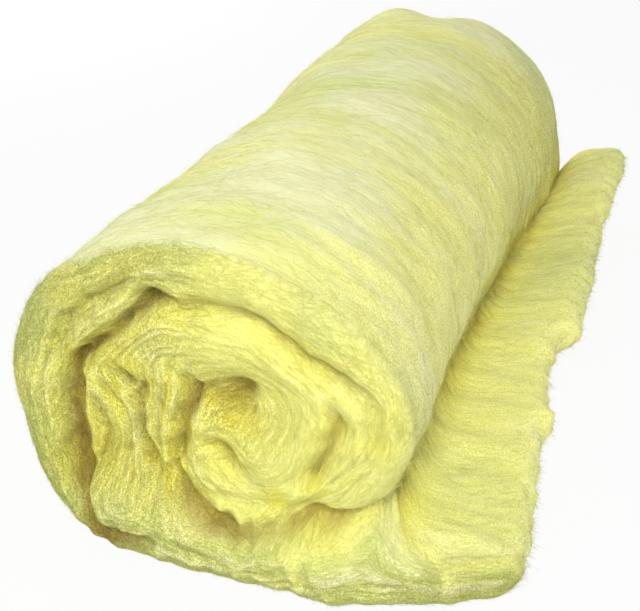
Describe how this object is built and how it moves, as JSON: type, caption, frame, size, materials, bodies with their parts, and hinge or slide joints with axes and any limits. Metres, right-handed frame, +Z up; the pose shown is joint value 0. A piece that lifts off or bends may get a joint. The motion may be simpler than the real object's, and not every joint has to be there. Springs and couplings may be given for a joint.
{
  "type": "insulation roll",
  "caption": "Loosely rolled blanket of yellow glass wool insulation, sagging on the floor, with its turns showing on both ends and its outer end left loose beside the roll.",
  "frame": {"origin": "on the floor, under the middle of the roll's length and width", "axes": "+Y along the roll, away from the front end; +Z up; +X towards the loose end"},
  "size_m": [0.6346, 1.25, 0.4],
  "materials": {
    "glass_wool": "matte, fibrous"
  },
  "bodies": {
    "root": {"wool_blanket": "glass_wool"}
  },
  "joints": []
}
